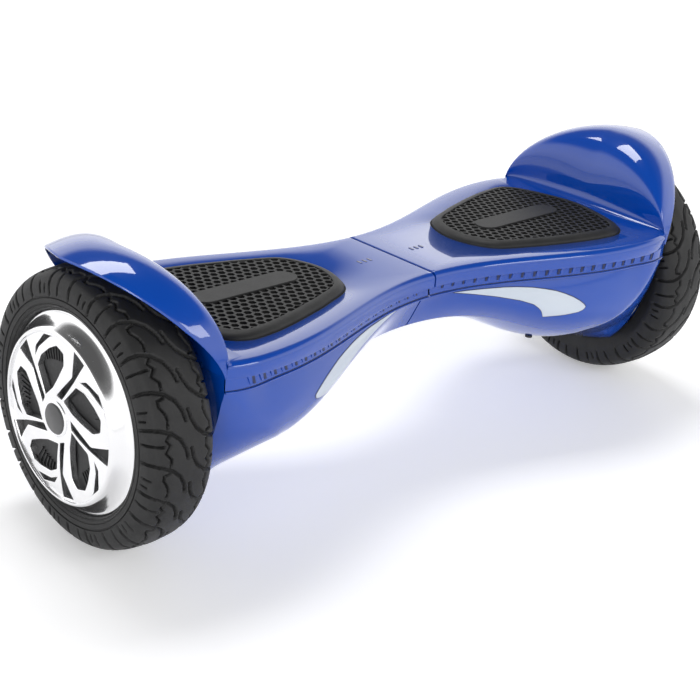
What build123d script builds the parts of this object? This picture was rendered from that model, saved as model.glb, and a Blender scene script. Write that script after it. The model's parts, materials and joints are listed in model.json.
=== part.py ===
from build123d import *
import os
from math import cos, hypot, pi, radians, sin

# Self balancing hoverboard. Origin on the floor under the middle of the board.
# +X runs along the board to the right wheel, -Y is the side with the lights, +Z is up.
# The right half is built first and the left half is its mirror image, apart from what is inside it.

# ---- driving dimensions, millimetres ----
WHEEL_R = 101.6          # 8 inch wheel
AXLE_Z = WHEEL_R
TYRE_X = 277.3           # middle of the tyre
TYRE_W = 54.0
RIM_SEAT_R = 71.0        # where the tyre sits on the rim
LIP_R = 73.6
LIP_X = 299.6
LIP_T = 3.6
FACE_R = 60.0            # spoked wheel cover
FACE_X = 313.7
FACE_BACK = 304.5
CAP_R = 10.7
CAP_X = 315.7
SPOKES = 5
AXLE_R = 7.5
AXLE_IN_X = 200.0
AXLE_OUT_X = 303.5

DECK_Z = 158.4           # flat top of the deck
SKIRT_Z = 146.5          # underside of the deck's lip
BAND_Z = 137.0           # top edge of the bottom cover, under the vent band
WALL = 3.0
SEAM = 0.8               # half of the gap between the two halves
END_X = 242.0            # outer end of the casing, beside the wheel
DECK_FILLET = 4.0

WAIST_HALF = 50.5        # half width of the deck at the seam
HIP_HALF = 97.5          # and at its widest
HIP_X = 212.0
END_DROP = 6.0           # how much narrower the deck is at END_X
HEM_IN = 25.5            # how far the front panel's lower edge is drawn in
HEM_WAIST_Z = 105.0
KNEE_X = 175.0           # where the lower edge stops falling steeply
KNEE_DROP = 33.0
TAIL_DROP = 15.0
BELLY_WAIST = 5.0        # depth of the underside's curve below that edge
BELLY_GROWTH = 19.0

FENDER_X = 309.5         # outer edge of the fender above the wheel
FENDER_Z = 218.2
FENDER_Y = 92.0
FENDER_FOOT_X = 241.0
SECTIONS = (-86, -80, -70, -56, -40, -20, 0, 20, 40, 56, 70, 80, 86)
STATIONS = (0.0, 30.0, 60.0, 90.0, 120.0, 150.0, 180.0, 205.0, 225.0, END_X)

VENT_COUNT = 20
VENT_PITCH = 10.8
VENT_X = 14.0
VENT_INSET = 8.0         # how far the ribbed band stands in under the deck's lip
VENT_T = 2.5
INDICATOR_XS = (23.4, 28.8, 34.2)
INDICATOR_HALF = (0.8, 2.5)

LIGHT_TOP = ((31, 133.5), (62, 133.3), (88, 132.0), (112.6, 128.0), (130, 122.5), (145, 114.5),
             (151.5, 108.0))
LIGHT_FOOT = ((151.5, 108.0), (148, 104.5), (134.6, 102.6), (117.5, 101.3))
LIGHT_HOOK = ((117.5, 101.3), (113.2, 107.5), (103.7, 115.6), (91.3, 120.3), (70.9, 125.5),
              (50.2, 129.8), (31, 133.5))
LIGHT_BOARD_Y = -59.0    # front face of the board behind the light
LIGHT_POSTS = ((98, 102, -64, 112, 116), (142, 146, -80, 120, 124))

PAD_IN_X = 70.0          # foot pad outline
PAD_OUT_X = 233.0
PAD_INSET = 25.5
PAD_GAP = 0.5
PAD_TOP = DECK_Z + 4.5
PAD_FLANGE = 4.0
PAD_UNDER = DECK_Z - WALL - 0.4
PAD_BOTTOM = PAD_UNDER - 3.0
PAD_CEILING = PAD_TOP - 4.5   # top of the hollow under the pad
PAD_TRAVEL = 1.2
STUD_GAP = 0.3
STUD_SPOTS = ((105, 0), (205, 0))
BOARD_Z = 142.0          # top of the sensor board
BOARD_T = 1.6

PIVOT_Z = 129.0          # axis of the tube that joins the halves
TUBE_R = 15.0
TUBE_WALL = 3.5
SLEEVE_R = 21.0
BUSH_R = 18.0
BUSH_W = 18.0
BUSH_XS = (6.0, 42.0)
RING_X = 64.0            # groove for the retaining ring
RING_T = 1.6
RING_DEPTH = 1.2
RING_R = TUBE_R + 2.0
RUNNING = 0.05           # radial clearance of a running fit
STOP_X = 31.0
STOP_R = 2.5
STOP_WINDOW = 7.6        # half width of the slot that lets the stop pin swing
HARNESS_R = 4.0

FLOOR_X = (8.0, 236.0)   # frame floor, inner and outer end
FLOOR_T = 6.0
FRAME_GAP = 12.0         # from the casing's underside to the frame's floor
NECK_HALF = 17.0
TRAY_HALF = 39.0
TRAY_X = 118.0
TRAY_TOP = 108.0
TRAY_WALL = 3.0
CRADLE_XS = (146.0, 190.0)
CRADLE_Z = 82.0
SEAT_X = (206.0, 236.0)  # block that carries the axle
SEAT_HALF = 34.0
CLAMP_H = 15.0
CLAMP_SPOTS = ((212, 18), (212, -18), (230, 18), (230, -18))
CLAMP_SCREW_R = 2.5
SCREW_SPOTS = ((52, 12), (52, -12), (150, 30), (150, -30), (222, 31), (222, -31))
SCREW_R = 1.8
HEAD_R = 3.6
BOSS_R = 6.0

BEARING_R = 17.5
BEARING_W = 11.0
DRUM_IN = TYRE_X - TYRE_W / 2 + 3.0
WEB_X = 303.0            # outer wall of the motor drum
SIDE_T = 3.0
SIDE_SCREW_R = 1.5
SIDE_SPOTS = [(64.5 * cos(radians(a)), 64.5 * sin(radians(a))) for a in range(0, 360, 45)]
MAGNETS = 20
MAGNET_R = 59.0
STATOR_TEETH = 18
STATOR_R = 54.5

PACK_X = (134.0, 198.0)  # battery pack, and the controller in the other half
PACK_HALF = 35.0
PACK_TOP = 124.0
REAR_Z = 118.0           # height of the power button and the charging port
BUTTON_X = 96.0
BUTTON_R = 7.0
BUTTON_SHELL_R = 10.5
PORT_X = 132.0
PORT_R = 9.0
PORT_FLANGE = 2.5
EAR_HALF = 4.5
EAR_Z = (REAR_Z + PORT_R + 1.5, REAR_Z + PORT_R + 6.5)
HINGE_Z = REAR_Z + PORT_R + 4.4


# ---- the outline of the casing as functions of x ----
def ease(u):
    u = min(max(u, 0.0), 1.0)
    return (1 - cos(pi * u)) / 2


def half_width(x):
    """Half width of the deck at x."""
    if x < HIP_X:
        return WAIST_HALF + (HIP_HALF - WAIST_HALF) * ease(x / HIP_X)
    return HIP_HALF - END_DROP * ((x - HIP_X) / (END_X - HIP_X)) ** 2


def hem_z(x):
    """Height of the lower edge of the front and rear panels."""
    tail = max(0.0, (x - KNEE_X) / (END_X - KNEE_X))
    return HEM_WAIST_Z - KNEE_DROP * ease(x / KNEE_X) ** 1.8 - TAIL_DROP * tail ** 2


def belly_z(x, y=0.0):
    """Height of the underside, a parabola across the board."""
    depth = BELLY_WAIST + BELLY_GROWTH * ease(x / END_X)
    return hem_z(x) - depth * (1 - min(abs(y) / hem_y(x), 1.0) ** 2)


def hem_y(x):
    return half_width(x) - HEM_IN


def panel_y(x, z):
    """Half width of the bottom cover at height z: hollow at the waist, full beside the wheel."""
    t = (BAND_Z - z) / (BAND_Z - hem_z(x))
    groove = VENT_INSET * (1 - ease((x - 200.0) / 42.0))
    bulge = 0.7 + 2.5 * ease(x / 150.0)
    return half_width(x) - groove * (1 - t) ** 2 - HEM_IN * max(t, 0.0) ** bulge


def tube(r_out, r_in, x0, x1, z=AXLE_Z):
    """Ring along X from x0 to x1."""
    ring = Cylinder(r_out, x1 - x0, rotation=(0, 90, 0))
    if r_in:
        ring -= Cylinder(r_in, x1 - x0 + 2, rotation=(0, 90, 0))
    return Pos((x0 + x1) / 2, 0, z) * ring


def block(x0, x1, y0, y1, z0, z1):
    return Pos((x0 + x1) / 2, (y0 + y1) / 2, (z0 + z1) / 2) * Box(x1 - x0, y1 - y0, z1 - z0)


def plan(inset, x0, x1, steps=12):
    """Face of the deck's plan outline, drawn in by inset, from x0 to x1."""
    xs = [x0 + (x1 - x0) * i / steps for i in range(steps + 1)]
    front = [(x, -half_width(x) + inset) for x in xs]
    back = [(x, half_width(x) - inset) for x in reversed(xs)]
    edges = Spline(*front) + Line(front[-1], back[0]) + Spline(*back) + Line(back[-1], front[0])
    return make_face(edges)


def prism(face, z0, z1):
    return Pos(0, 0, z0) * extrude(face, z1 - z0)


def pad_face(grow):
    """Foot pad outline seen from above, grown by grow."""
    side = [(x, half_width(x) - PAD_INSET + grow) for x in (112, 136, 160, 184)]
    corner_in = (82 - grow * 0.8, 34.0 + grow * 0.6)
    corner_out = [(206 + grow * 0.4, 67.5 + grow * 0.9), (222 + grow, 49.0 + grow * 0.6)]
    half = [corner_in] + side + corner_out
    front = [(x, -y) for x, y in half]
    loop = [(PAD_IN_X - grow, 0)] + front + [(PAD_OUT_X + grow, 0)] + list(reversed(half))
    return make_face(Spline(*loop, periodic=True))


# ---- casing ----
def fender_section(y):
    """Closed section of the fender's wall at y, in the plane across the wheel."""
    t = abs(y) / FENDER_Y
    rise = (1 - t ** 2.04) ** 0.52
    reach = (1 - t ** 1.52) ** 0.69
    edge_x = END_X + (FENDER_X - END_X) * reach
    edge_z = SKIRT_Z + (FENDER_Z - SKIRT_Z) * rise
    start = Vector(FENDER_FOOT_X, 0, DECK_Z)
    end = Vector(edge_x, 0, edge_z)
    handles = (start + Vector(3.2, 0, 18.7) * rise, end + Vector(-74.8, 0, 19.7) * rise)

    def point(u, inward):
        a, b, c, d = (1 - u) ** 3, 3 * u * (1 - u) ** 2, 3 * u * u * (1 - u), u ** 3
        p = start * a + handles[0] * b + handles[1] * c + end * d
        slope = (handles[0] - start) * (1 - u) ** 2 + (handles[1] - handles[0]) * 2 * u * (1 - u)
        slope = slope + (end - handles[1]) * u * u
        length = hypot(slope.X, slope.Z)
        return (p.X + inward * slope.Z / length, y, p.Z - inward * slope.X / length)

    outer = [point(u / 8, 0) for u in range(9)]
    inner = [point(u / 8, WALL) for u in range(8, -1, -1)]
    foot_in = (inner[-1][0], y, SKIRT_Z)
    foot_out = (outer[0][0], y, SKIRT_Z)
    wire = Spline(*outer) + Line(outer[-1], inner[0]) + Spline(*inner)
    wire += Line(inner[-1], foot_in) + Line(foot_in, foot_out) + Line(foot_out, outer[0])
    return make_face(wire)


def top_cover():
    deck = prism(plan(0, SEAM, END_X), SKIRT_Z, DECK_Z)
    rim = [e for e in deck.edges().group_by(Axis.Z)[-1] if e.length > 1.5 * HIP_HALF]
    deck = fillet(rim, DECK_FILLET)
    hollow = prism(plan(WALL, SEAM + WALL, END_X - WALL), SKIRT_Z + VENT_T, DECK_Z - WALL)
    mouth = prism(plan(VENT_INSET + WALL, SEAM + WALL, END_X - WALL), SKIRT_Z - 1, SKIRT_Z + WALL)
    fender = loft([fender_section(y) for y in SECTIONS])
    cover = deck + fender - hollow - mouth
    cover -= prism(pad_face(PAD_GAP), DECK_Z - WALL - 1, DECK_Z + 1)
    for window in indicator_bars(DECK_Z - WALL - 1, DECK_Z + 1):
        cover -= window
    return cover


def indicator_bars(z0, z1):
    dx, dy = INDICATOR_HALF
    return [block(x - dx, x + dx, -dy, dy, z0, z1) for x in INDICATOR_XS]


def hull_section(x, inset, top):
    """Closed section of the bottom cover at x, drawn in by inset, with its top edge at z = top."""
    rows = []
    for i in range(5):
        z = BAND_Z - (BAND_Z - hem_z(x)) * i / 4
        rows.append((panel_y(x, z) - inset, z + inset * (i == 4)))
    low_y, low_z = rows[-1]
    control = 2 * (belly_z(x) + inset) - low_z
    if top > BAND_Z:
        rows.insert(0, (rows[0][0], top))
    front = [(x, -y, z) for y, z in rows]
    back = [(x, y, z) for y, z in reversed(rows)]
    wire = Spline(*front) + Bezier(front[-1], (x, 0, control), back[0]) + Spline(*back)
    wire += Line(back[-1], front[0])
    return make_face(wire)


def bottom_cover(trim):
    """Shell of the underside; its screw bosses are cut off by trim, the space above the frame's floor."""
    cover = loft([hull_section(max(x, SEAM), 0, BAND_Z) for x in STATIONS])
    inside = [SEAM + WALL] + list(STATIONS[1:-1]) + [END_X - WALL]
    cover -= loft([hull_section(x, WALL, BAND_Z + 4) for x in inside])
    end_half = half_width(END_X) - 1.0
    cover += block(END_X - WALL, END_X, -end_half, end_half, BAND_Z - 1, SKIRT_Z)
    for x0, x1, y0, z0, z1 in LIGHT_POSTS:
        cover += block(x0, x1, y0, LIGHT_BOARD_Y, z0, z1)
    for x, y in SCREW_SPOTS:
        foot = belly_z(x, y)
        boss = Pos(x, y, foot + 1.5 + 15) * Cylinder(BOSS_R, 30) - trim
        hole = Pos(x, y, foot + 10) * Cylinder(SCREW_R, 40)
        seat = Pos(x, y, foot - 5 + WALL) * Cylinder(HEAD_R, 10)
        cover = cover + boss - hole - seat
    cover -= tube(SLEEVE_R + WALL, 0, -1, 6, PIVOT_Z)
    cover -= tube(AXLE_R + 4.5, 0, END_X - 6, END_X + 2)
    return cover


def vent_band(side):
    """Ribbed strip between the covers: side is -1 for the front one and 1 for the rear one."""
    outer = prism(plan(VENT_INSET, SEAM, END_X - WALL), BAND_Z, SKIRT_Z)
    inner = prism(plan(VENT_INSET + VENT_T, -1, END_X), BAND_Z - 1, SKIRT_Z + 1)
    reach = side * (HIP_HALF + 10)
    strip = (outer - inner) & block(0, END_X, min(0, reach), max(0, reach), BAND_Z, SKIRT_Z)
    slots = []
    for i in range(VENT_COUNT):
        x = VENT_X + i * VENT_PITCH
        y = side * (half_width(x) - VENT_INSET)
        slots.append(block(x - 0.9, x + 0.9, y - 1.2, y + 1.2, BAND_Z + 3.5, SKIRT_Z - 1.5))
    return strip - Compound(children=slots)


def light_prism(y0, y1):
    """The hook shaped outline of the front light, run from y0 to y1."""
    runs = [[(x, y0, z) for x, z in run] for run in (LIGHT_TOP, LIGHT_FOOT, LIGHT_HOOK)]
    wire = Spline(*runs[0]) + Spline(*runs[1]) + Spline(*runs[2])
    return extrude(make_face(wire), y1 - y0, dir=(0, 1, 0))


# ---- frame, axle and pivot ----
def frame_z(x):
    """Underside of the aluminium frame's floor."""
    return belly_z(x) + FRAME_GAP


def floor_line(lift=0.0):
    x0, x1 = FLOOR_X
    return [(x0 + (x1 - x0) * i / 10, frame_z(x0 + (x1 - x0) * i / 10) + lift) for i in range(11)]


def above_floor():
    """The space above the underside of the frame's floor, for trimming what stands on it."""
    low = floor_line()
    x0, x1 = FLOOR_X
    outline = Spline(*low) + Polyline(low[-1], (x1, 200), (x0, 200), low[0])
    return extrude(make_face(Plane.XZ * outline), HIP_HALF, both=True)


def frame(above, right):
    """Cast frame: floor, side walls, battery cradle, axle seat and the sleeve of the pivot."""
    low = floor_line()
    high = floor_line(FLOOR_T)[::-1]
    profile = Spline(*low) + Line(low[-1], high[0]) + Spline(*high) + Line(high[-1], low[0])
    x0, x1 = FLOOR_X
    half = [(x0, NECK_HALF), (70, NECK_HALF), (TRAY_X, TRAY_HALF), (x1, TRAY_HALF)]
    tray = make_face(Polyline(*[(x, -y) for x, y in half], *reversed(half), close=True))
    body = extrude(make_face(Plane.XZ * profile), HIP_HALF, both=True) & prism(tray, 0, 200)
    stands = [block(TRAY_X, x1, -TRAY_HALF, TRAY_WALL - TRAY_HALF, 0, TRAY_TOP),
              block(TRAY_X, x1, TRAY_HALF - TRAY_WALL, TRAY_HALF, 0, TRAY_TOP),
              block(*SEAT_X, -SEAT_HALF, SEAT_HALF, 0, AXLE_Z),
              block(x0, RING_X - 2, -5, 5, 0, PIVOT_Z)]
    stands += [block(x, x + 6, -TRAY_HALF, TRAY_HALF, 0, CRADLE_Z) for x in CRADLE_XS]
    for stand in stands:
        body += stand & above
    body += tube(SLEEVE_R, 0, 4, RING_X - 2, PIVOT_Z)
    body -= tube(BUSH_R if right else TUBE_R, 0, 2, RING_X, PIVOT_Z)
    body -= tube(AXLE_R, 0, AXLE_IN_X, END_X)
    for x, y in SCREW_SPOTS:
        body -= Pos(x, y, frame_z(x)) * Cylinder(SCREW_R, 10)
    for x, y in CLAMP_SPOTS:
        body -= Pos(x, y, AXLE_Z - 5) * Cylinder(CLAMP_SCREW_R, 24)
    if right:
        body -= block(STOP_X - 3, STOP_X + 3, -STOP_WINDOW, STOP_WINDOW, PIVOT_Z + 8, PIVOT_Z + 30)
    return body


def axle_clamp():
    clamp = block(*SEAT_X, -SEAT_HALF, SEAT_HALF, AXLE_Z, AXLE_Z + CLAMP_H)
    clamp -= tube(AXLE_R, 0, AXLE_IN_X, END_X)
    for x, y in CLAMP_SPOTS:
        clamp -= Pos(x, y, AXLE_Z + 5) * Cylinder(CLAMP_SCREW_R, 40)
    return clamp


def clamp_screws():
    screws = []
    for x, y in CLAMP_SPOTS:
        shank = Pos(x, y, AXLE_Z + 0.5) * Cylinder(CLAMP_SCREW_R, 29)
        head = Pos(x, y, AXLE_Z + CLAMP_H + 2) * Cylinder(4.5, 4)
        screws.append(shank + head)
    return Compound(children=screws)


def cover_screws():
    screws = []
    for x, y in SCREW_SPOTS:
        foot = belly_z(x, y) + WALL
        length = frame_z(x) + 4.0 - foot
        shank = Pos(x, y, foot + length / 2) * Cylinder(SCREW_R, length)
        head = Pos(x, y, foot - 1) * Cylinder(HEAD_R - 0.4, 2)
        screws.append(shank + head)
    return Compound(children=screws)


# ---- hub motor and wheel ----
def revolve_x(points):
    """Turn a closed profile of (x, radius) points about the axle."""
    profile = Polyline(*[(x, 0, AXLE_Z + r) for x, r in points], close=True)
    return revolve(make_face(profile), Axis((0, 0, AXLE_Z), (1, 0, 0)))


def tyre():
    half = TYRE_W / 2
    flank = [(-half, 84.0), (-half * 0.86, 96.5), (-half * 0.45, 100.8)]
    crown = flank + [(0, WHEEL_R)] + [(-x, r) for x, r in reversed(flank)]
    crown = [(TYRE_X + x, 0, AXLE_Z + r) for x, r in crown]
    seat = [(LIP_X, LIP_R), (LIP_X - LIP_T, LIP_R), (LIP_X - LIP_T, RIM_SEAT_R), (DRUM_IN, RIM_SEAT_R)]
    seat = [(x, 0, AXLE_Z + r) for x, r in seat]
    wire = Spline(*crown) + Polyline(crown[-1], *seat, crown[0])
    return revolve(make_face(wire), Axis((0, 0, AXLE_Z), (1, 0, 0)))


def rim():
    """Motor drum with its outer web, tyre seat and polished lip."""
    flank = [(LIP_X - LIP_T, LIP_R), (LIP_X, LIP_R), (LIP_X + 1.0, 72.0), (302.5, 68.5), (306.5, 65.0),
             (311.0, 62.6), (FACE_X - 0.7, 61.6), (FACE_X - 0.7, FACE_R)]
    pocket = [(WEB_X + 1.5, FACE_R), (WEB_X + 1.5, BEARING_R), (WEB_X - BEARING_W, BEARING_R),
              (WEB_X - BEARING_W, 22.0), (WEB_X - 3.0, 24.0), (WEB_X - 3.0, MAGNET_R)]
    seat = [(DRUM_IN, MAGNET_R), (DRUM_IN, RIM_SEAT_R), (LIP_X - LIP_T, RIM_SEAT_R)]
    return revolve_x(seat + flank + pocket)


def spoke_cover():
    """Wheel cover: looped spokes with sunk pockets between them."""
    face = revolve_x([(FACE_BACK, CAP_R), (FACE_BACK, FACE_R), (FACE_X, FACE_R), (FACE_X, CAP_R)])
    pocket = Polyline((16, -3), (24, 5), (44, 13), (52, 5), (50, -7), (24, -7), close=True)
    wedge = Polyline((22, 9), (28, 12), (50, 29), (54, 20), (44, 17), (28, 9.5), close=True)
    seat = Plane(origin=(FACE_X - 5.0, 0, AXLE_Z), x_dir=(0, 1, 0), z_dir=(1, 0, 0))
    for i in range(SPOKES):
        for outline in (pocket, wedge):
            face -= seat * Rot(0, 0, 360 / SPOKES * i) * extrude(make_face(outline), 8)
    return face


def hub_cap():
    return revolve_x([(306.0, 0), (306.0, CAP_R), (CAP_X - 0.8, CAP_R), (CAP_X, CAP_R - 0.8), (CAP_X, 0)])


def side_cover():
    """Inboard cover of the motor, with its bearing seat."""
    x0 = DRUM_IN - SIDE_T
    ring = revolve_x([(x0, BEARING_R), (x0, 68.0), (DRUM_IN, 68.0), (DRUM_IN, 24.0),
                      (x0 + BEARING_W, 22.0), (x0 + BEARING_W, BEARING_R)])
    for y, z in SIDE_SPOTS:
        ring -= Pos(DRUM_IN, y, AXLE_Z + z) * Cylinder(SIDE_SCREW_R, 12, rotation=(0, 90, 0))
    return ring


def side_screws():
    x0 = DRUM_IN - SIDE_T
    screws = []
    for y, z in SIDE_SPOTS:
        shank = Pos(DRUM_IN - 1.5, y, AXLE_Z + z) * Cylinder(SIDE_SCREW_R, SIDE_T, rotation=(0, 90, 0))
        head = Pos(x0 - 0.75, y, AXLE_Z + z) * Cylinder(2.8, 1.5, rotation=(0, 90, 0))
        screws.append(shank + head)
    return Compound(children=screws)


def bearings():
    pair = []
    for x0 in (DRUM_IN - SIDE_T, WEB_X - BEARING_W):
        pair.append(tube(BEARING_R, AXLE_R + RUNNING, x0, x0 + BEARING_W))
    return Compound(children=pair)


def about_axle(angle):
    return Pos(0, 0, AXLE_Z) * Rot(angle, 0, 0)


def magnets():
    ring = tube(MAGNET_R, MAGNET_R - 3.0, TYRE_X - 15, TYRE_X + 15)
    slab = Pos(TYRE_X, 0, MAGNET_R - 2) * Box(40, 16, 12)
    parts = [(ring & (about_axle(360 / MAGNETS * i) * slab)).solid() for i in range(MAGNETS)]
    return Compound(children=parts)


def stator():
    core = tube(STATOR_R, 34.0, TYRE_X - 13, TYRE_X + 13)
    slot = Pos(TYRE_X, 0, STATOR_R - 5) * Box(30, 6, 16)
    for i in range(STATOR_TEETH):
        core -= about_axle(360 / STATOR_TEETH * i) * slot
    return core + tube(36.0, AXLE_R, TYRE_X - 5, TYRE_X + 5)


def axle():
    return tube(AXLE_R, 0, AXLE_IN_X, AXLE_OUT_X)


# ---- foot pad ----
def foot_pad():
    pad = prism(pad_face(0), PAD_BOTTOM, PAD_TOP)
    pad = chamfer(pad.edges().group_by(Axis.Z)[-1], 3.0)
    pad += prism(pad_face(PAD_FLANGE), PAD_BOTTOM, PAD_UNDER)
    pad -= prism(pad_face(-PAD_FLANGE), PAD_BOTTOM - 1, PAD_CEILING)
    plate = Pos((PAD_IN_X + PAD_OUT_X) / 2 - 0.7, 0, PAD_TOP) * extrude(SlotOverall(96, 22), 0.6)
    return pad + plate


def switch_studs():
    """Rubber columns under the pad that press its two switches."""
    top = PAD_CEILING - PAD_TRAVEL - STUD_GAP
    studs = [Pos(x, y, (BOARD_Z + top) / 2) * Cylinder(5.0, top - BOARD_Z) for x, y in STUD_SPOTS]
    return Compound(children=studs)


def sensor_board():
    board = block(92, 216, -34, 34, BOARD_Z - BOARD_T, BOARD_Z)
    chip = block(148, 162, -7, 7, BOARD_Z, BOARD_Z + 3)
    return Compound(children=[board, chip])


def light_board():
    """Narrow board that carries the light's diodes, behind the lens."""
    strip = block(98, 146, LIGHT_BOARD_Y, LIGHT_BOARD_Y + BOARD_T, 112, 124)
    diodes = []
    for i in range(5):
        x = 101.0 + 9.0 * i
        diodes.append(block(x, x + 5, LIGHT_BOARD_Y - 1.2, LIGHT_BOARD_Y, 116.5, 119.5))
    return Compound(children=[strip] + diodes)


# ---- what only one half has ----
def pivot_tube():
    body = tube(TUBE_R, TUBE_R - TUBE_WALL, 2 - RING_X, RING_X + 4, PIVOT_Z)
    groove = tube(TUBE_R + 1, TUBE_R - RING_DEPTH, RING_X, RING_X + RING_T, PIVOT_Z)
    pin_hole = Pos(STOP_X, 0, PIVOT_Z + 14) * Cylinder(STOP_R, 14)
    return body - groove - pin_hole


def pivot_bushes():
    pair = [tube(BUSH_R, TUBE_R + RUNNING, x, x + BUSH_W, PIVOT_Z) for x in BUSH_XS]
    return Compound(children=pair)


def retaining_ring():
    ring = tube(RING_R, TUBE_R - RING_DEPTH, RING_X, RING_X + RING_T, PIVOT_Z)
    return ring - block(RING_X - 2, RING_X + 4, -3.5, 3.5, PIVOT_Z - 25, PIVOT_Z - 5)


def stop_pin():
    return Pos(STOP_X, 0, PIVOT_Z + TUBE_R + 0.4) * Cylinder(STOP_R, 8.0)


def battery_pack():
    pack = block(*PACK_X, -PACK_HALF, PACK_HALF, CRADLE_Z, PACK_TOP)
    return fillet(pack.edges().filter_by(Axis.Z), 8.0)


def battery_bracket():
    """Strap over the pack, hooked over both side walls of the frame."""
    bar = block(154, 168, -TRAY_HALF - 2, TRAY_HALF + 2, PACK_TOP, PACK_TOP + 2)
    for side in (-1, 1):
        y = side * (TRAY_HALF + 1)
        bar += block(154, 168, y - 1, y + 1, TRAY_TOP - 10, PACK_TOP + 2)
    return bar


def main_board():
    """Controller: board on the cradle, heat sink, capacitors and a row of sockets."""
    top = CRADLE_Z + 2
    board = block(*PACK_X, -PACK_HALF, PACK_HALF, CRADLE_Z, top)
    sink = block(138, 144, -32, 32, top, top + 18)
    cans = [Pos(184, y, top + 12) * Cylinder(8, 24) for y in (-22, 0, 22)]
    sockets = [block(148, 158, y - 5, y + 5, top, top + 9) for y in (-27, -12, 12, 27)]
    return Compound(children=[board, sink] + cans + sockets)


def wire_harness():
    """Loom that runs through the pivot tube, straight along the twist axis."""
    return tube(HARNESS_R, 0, -100, 92, PIVOT_Z)


def rear_face(x):
    return panel_y(x, REAR_Z)


def rear_disc(x, r, y0, y1):
    """Cylinder square to the board, y0 to y1 out from the rear face at x."""
    face = rear_face(x)
    return Pos(x, face + (y0 + y1) / 2, REAR_Z) * Cylinder(r, y1 - y0, rotation=(90, 0, 0))


def power_button():
    return rear_disc(BUTTON_X, BUTTON_R, -4.5, 2.5) + rear_disc(BUTTON_X, 3.0, -12.0, -4.0)


def button_housing():
    shell = rear_disc(BUTTON_X, BUTTON_SHELL_R, -10.5, 2.5)
    return shell - rear_disc(BUTTON_X, BUTTON_R + 0.4, -6.5, 4.5) - rear_disc(BUTTON_X, 3.4, -14.0, -2.0)


def charging_socket():
    """Round socket with three pin holes and the two ears that carry its cap."""
    y = rear_face(PORT_X)
    socket = rear_disc(PORT_X, PORT_R, -16.5, 2.5) + rear_disc(PORT_X, PORT_R + PORT_FLANGE, 0.3, 2.5)
    socket -= rear_disc(PORT_X, PORT_R - 3.0, -5.5, 3.5)
    for a in (90, 210, 330):
        hole = Pos(PORT_X + 3 * cos(radians(a)), y - 8, REAR_Z + 3 * sin(radians(a)))
        socket -= hole * Cylinder(0.9, 8.0, rotation=(90, 0, 0))
    ear = block(PORT_X - EAR_HALF, PORT_X + EAR_HALF, y - 1.0, y + 4.6, *EAR_Z)
    ear -= block(PORT_X - 2.5, PORT_X + 2.5, y + 0.9, y + 6.0, EAR_Z[0] - 1, EAR_Z[1] + 1)
    pin_hole = Pos(PORT_X, y + 3.0, HINGE_Z) * Cylinder(0.9, 12.0, rotation=(0, 90, 0))
    return socket + (ear - pin_hole)


def charging_cap():
    """Flap that hangs over the socket from two pin stubs."""
    y = rear_face(PORT_X)
    lid = rear_disc(PORT_X, PORT_R + 1.5, 2.9, 4.9)
    arm = block(PORT_X - 2.1, PORT_X + 2.1, y + 2.9, y + 4.9, REAR_Z, HINGE_Z)
    barrel = Pos(PORT_X, y + 3.0, HINGE_Z) * Cylinder(1.9, 4.2, rotation=(0, 90, 0))
    barrel -= block(PORT_X - 3, PORT_X + 3, y - 1, y + 1.9, HINGE_Z - 3, HINGE_Z + 3)
    pin = Pos(PORT_X, y + 3.0, HINGE_Z) * Cylinder(0.85, 8.8, rotation=(0, 90, 0))
    return lid + arm + barrel + pin


def rear_bores():
    """What the button's housing and the socket take out of the right half's rear panel."""
    y = rear_face(PORT_X)
    ear_slot = block(PORT_X - EAR_HALF, PORT_X + EAR_HALF, y - 1.0, y + 20, *EAR_Z)
    return [rear_disc(BUTTON_X, BUTTON_SHELL_R, -15, 15), rear_disc(PORT_X, PORT_R, -20, 20),
            rear_disc(PORT_X, PORT_R + PORT_FLANGE, 0.3, 10), ear_slot]


# ---- build ----
def mirrored(shape):
    return mirror(shape, about=Plane.YZ)


def save(name, shape):
    if isinstance(shape, ShapeList):
        shape = Compound(children=list(shape))
    export_step(shape, "parts/" + name + ".step")


def build():
    os.makedirs("parts", exist_ok=True)
    above = above_floor()
    skin = bottom_cover(above)
    light = light_prism(-110, -40)
    lower = skin - light
    pairs = {
        "top_cover": top_cover(),
        "vent_bands": Compound(children=[vent_band(side) for side in (-1, 1)]),
        "light_lens": skin & light,
        "light_board": light_board(),
        "indicator_lenses": Compound(children=indicator_bars(DECK_Z - WALL, DECK_Z + 0.3)),
        "foot_pad": foot_pad(),
        "switch_studs": switch_studs(),
        "sensor_board": sensor_board(),
        "axle_clamp": axle_clamp(),
        "clamp_screws": clamp_screws(),
        "cover_screws": cover_screws(),
        "axle": axle(),
        "stator": stator(),
        "tyre": tyre(),
        "rim": rim(),
        "spoke_cover": spoke_cover(),
        "hub_cap": hub_cap(),
        "motor_cover": side_cover(),
        "motor_screws": side_screws(),
        "bearings": bearings(),
        "magnets": magnets(),
    }
    for name, shape in pairs.items():
        save("right_" + name, shape)
        save("left_" + name, mirrored(shape))
    save("right_bottom_cover", lower - Compound(children=rear_bores()))
    save("left_bottom_cover", mirrored(lower))
    save("right_frame", frame(above, True))
    save("left_frame", mirrored(frame(above, False)))
    save("pivot_tube", pivot_tube())
    save("pivot_bushes", pivot_bushes())
    save("retaining_ring", retaining_ring())
    save("stop_pin", stop_pin())
    save("battery_pack", battery_pack())
    save("battery_bracket", battery_bracket())
    save("main_board", mirrored(main_board()))
    save("wire_harness", wire_harness())
    save("power_button", power_button())
    save("button_housing", button_housing())
    save("charging_socket", charging_socket())
    save("charging_cap", charging_cap())


build()
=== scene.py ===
import json
from math import atan2, cos, hypot, pi, radians, sin, sqrt

import bmesh
import bpy
import numpy as np
from mathutils import Matrix, Vector


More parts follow.
